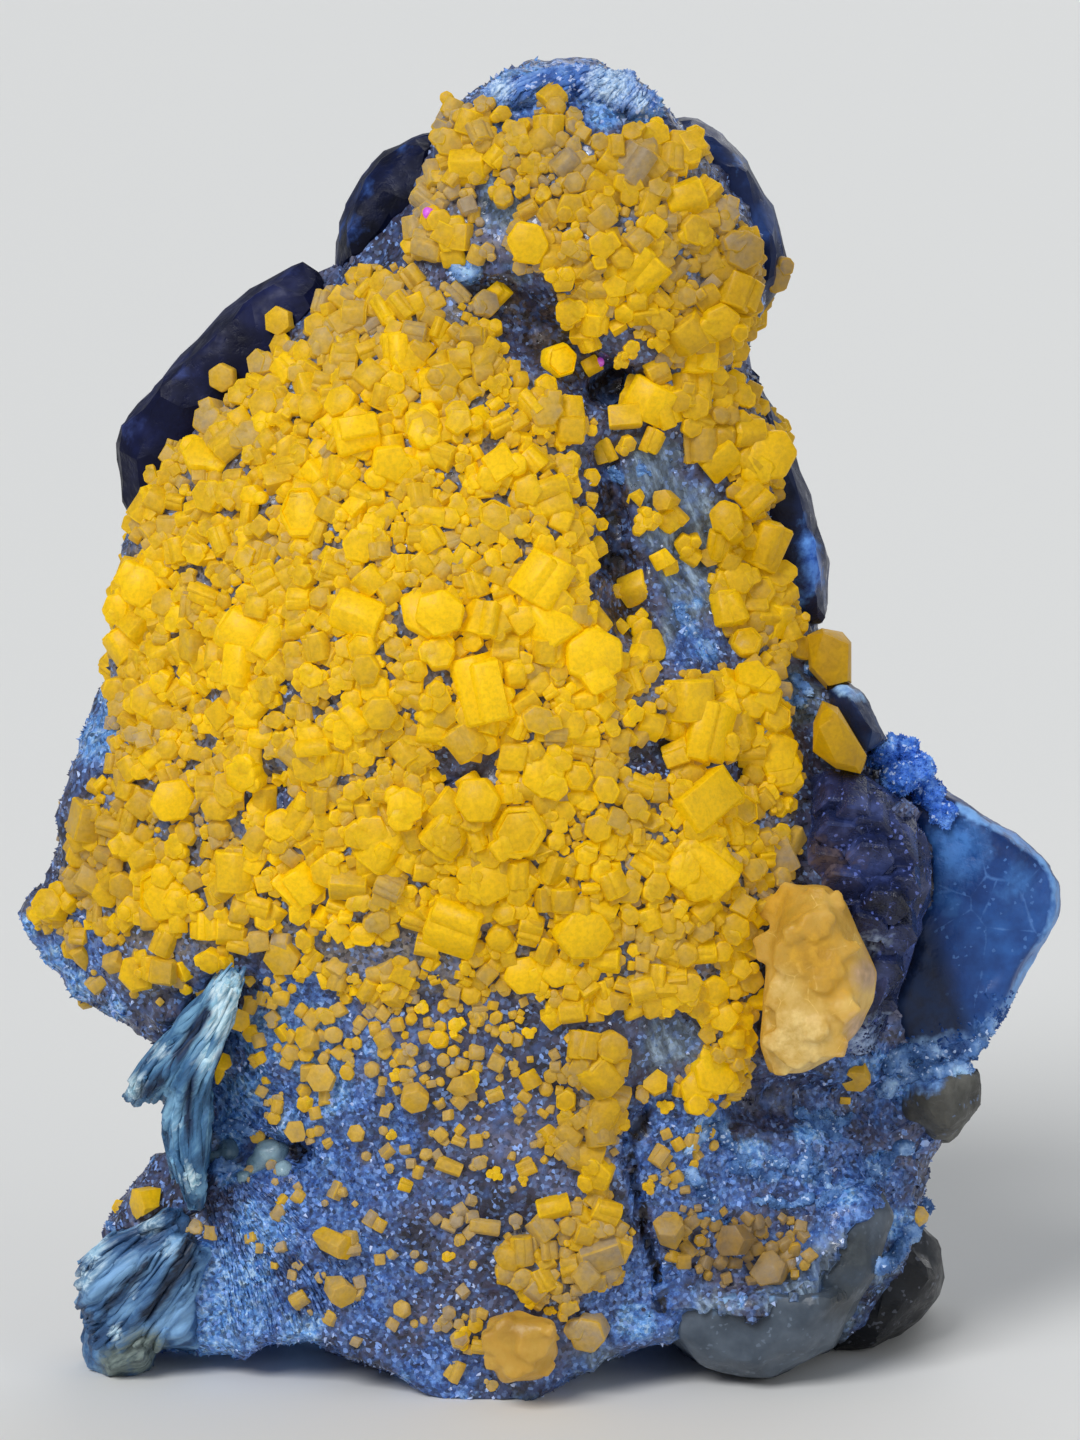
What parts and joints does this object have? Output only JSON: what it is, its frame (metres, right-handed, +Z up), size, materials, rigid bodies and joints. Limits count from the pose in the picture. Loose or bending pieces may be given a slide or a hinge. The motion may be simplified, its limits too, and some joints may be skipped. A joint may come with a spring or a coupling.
{
  "type": "apatite crystals on quartz",
  "caption": "Mineral specimen: yellow-orange six-sided apatite crystals grown over a sparkling blue-violet quartz matrix that stands upright on a flat cut.",
  "frame": {"origin": "on the surface that the specimen stands on, under the middle of its outer box", "axes": "+Z up; the show face with the apatite looks along -Y; +X to the right of that face"},
  "size_m": [0.0948, 0.0496, 0.1177],
  "materials": {
    "drusy_quartz": "rough, sparkling with tiny crystal faces",
    "smoky_quartz": "smooth, glassy, nearly black",
    "violet_quartz": "glassy faces with fine sparkle",
    "blue_quartz": "waxy, translucent, finely cracked",
    "grey_quartz": "matt, broken",
    "clear_quartz": "translucent, smooth edge",
    "quartz_knobs": "small round knobs, satin",
    "pale_mica": "fibrous, pearly",
    "apatite": "satin crystal faces, translucent",
    "pale_apatite": "cloudy, translucent"
  },
  "bodies": {
    "root": {"quartz_matrix": "drusy_quartz", "smoky_quartz_upper_left": "smoky_quartz", "smoky_quartz_left": "smoky_quartz", "smoky_quartz_right_knob": "smoky_quartz", "smoky_quartz_right_flank": "smoky_quartz", "smoky_quartz_lower_right": "smoky_quartz", "violet_quartz_crystal": "violet_quartz", "blue_quartz_slab": "blue_quartz", "blue_quartz_lump": "blue_quartz", "grey_quartz_lump": "grey_quartz", "clear_quartz_rim": "clear_quartz", "knobbly_quartz_crust": "quartz_knobs", "mica_cap": "pale_mica", "mica_blade_upper": "pale_mica", "mica_blade_lower": "pale_mica", "apatite_crust": "apatite", "apatite_vein": "apatite", "apatite_pale_mass": "pale_apatite", "apatite_bottom_mass": "pale_apatite", "apatite_boot_crystal": "apatite", "apatite_short_prism": "apatite", "apatite_crystal_01": "apatite", "apatite_crystal_02": "apatite", "apatite_crystal_03": "apatite", "apatite_crystal_04": "apatite", "apatite_crystal_05": "apatite", "apatite_crystal_06": "apatite", "apatite_crystal_07": "apatite", "apatite_crystal_08": "apatite", "apatite_crystal_09": "apatite", "apatite_crystal_10": "apatite", "apatite_crystal_11": "apatite", "apatite_crystal_12": "apatite", "apatite_crystal_13": "apatite", "apatite_crystal_14": "apatite", "apatite_crystal_15": "apatite", "apatite_crystal_16": "apatite", "apatite_crystal_17": "apatite", "apatite_crystal_18": "apatite", "apatite_crystal_19": "apatite", "apatite_crystal_20": "apatite", "apatite_crystal_21": "apatite", "apatite_crystal_22": "apatite", "apatite_crystal_23": "apatite", "apatite_crystal_24": "apatite", "apatite_crystal_25": "apatite", "apatite_crystal_26": "apatite", "apatite_crystal_27": "apatite", "apatite_crystal_28": "apatite", "apatite_crystal_29": "apatite", "apatite_crystal_30": "apatite", "apatite_crystal_31": "apatite"}
  },
  "joints": []
}
